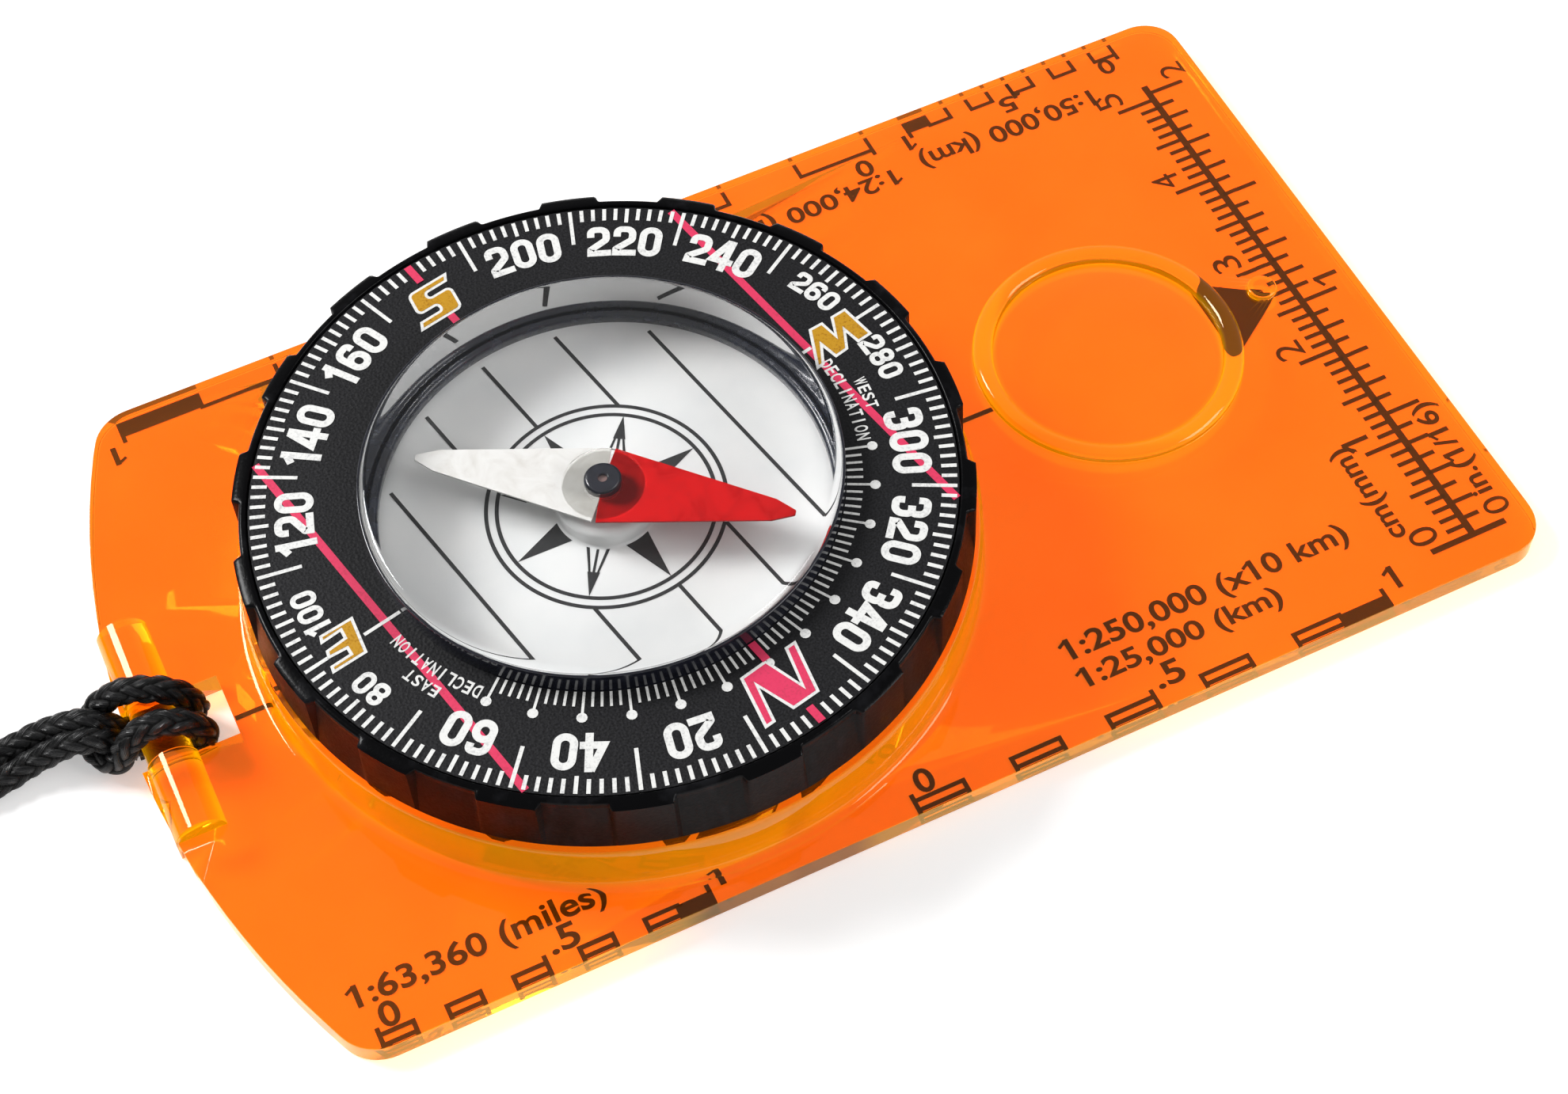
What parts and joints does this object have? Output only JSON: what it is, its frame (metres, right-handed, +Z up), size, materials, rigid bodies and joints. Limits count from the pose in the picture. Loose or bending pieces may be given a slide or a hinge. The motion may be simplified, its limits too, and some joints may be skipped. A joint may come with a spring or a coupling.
{
  "type": "baseplate compass",
  "caption": "Clear orange baseplate compass: rulers and map scales, magnifier, turning ribbed dial, liquid capsule with a magnetic needle, and a coiled neck cord.",
  "frame": {"origin": "centre of the baseplate's outline, on its flat underside", "axes": "+X along the plate in the direction of travel, +Y across the plate, +Z up out of the dial"},
  "size_m": [0.1451, 0.0639, 0.0144],
  "materials": {
    "orange_plastic": "clear fluorescent, polished",
    "washer_plastic": "satin",
    "spring_steel": "bright",
    "bezel_plastic": "moulded, satin",
    "dial_print": "fine-grained, printed",
    "capsule_floor": "satin white, printed",
    "seal_rubber": "smooth",
    "clear_plastic": "clear, polished",
    "liquid": "clear oil",
    "needle_paint": "satin paint, red and white",
    "cap_plastic": "gloss",
    "jewel": "polished",
    "cord_braid": "braided polyester",
    "tie_band": "woven band"
  },
  "bodies": {
    "plate": {"baseplate": "orange_plastic", "friction_washer": "washer_plastic", "lanyard_hitch": "cord_braid", "lanyard_strand_a": "cord_braid", "lanyard_strand_b": "cord_braid", "lanyard_coil": "cord_braid", "coil_tie": "tie_band", "lanyard_knot": "cord_braid"},
    "dial": {"bezel": "bezel_plastic", "retaining_ring": "spring_steel", "dial_plate": "dial_print", "capsule_base": "capsule_floor", "capsule_seal": "seal_rubber", "capsule_lid": "clear_plastic", "filler_plug": "washer_plastic", "damping_liquid": "liquid", "pivot_pin": "spring_steel"},
    "needle": {"needle_blade": "needle_paint", "needle_hub": "clear_plastic", "needle_cap": "cap_plastic", "jewel_cup": "jewel"}
  },
  "joints": [
    {"name": "dial_turn", "type": "hinge", "parent": "plate", "child": "dial", "pos_m": [-0.013, 0, 0.009], "axis": [0, 0, 1], "continuous": true},
    {"name": "needle_swing", "type": "hinge", "parent": "dial", "child": "needle", "pos_m": [-0.013, 0, 0.0096], "axis": [0, 0, 1], "continuous": true}
  ]
}
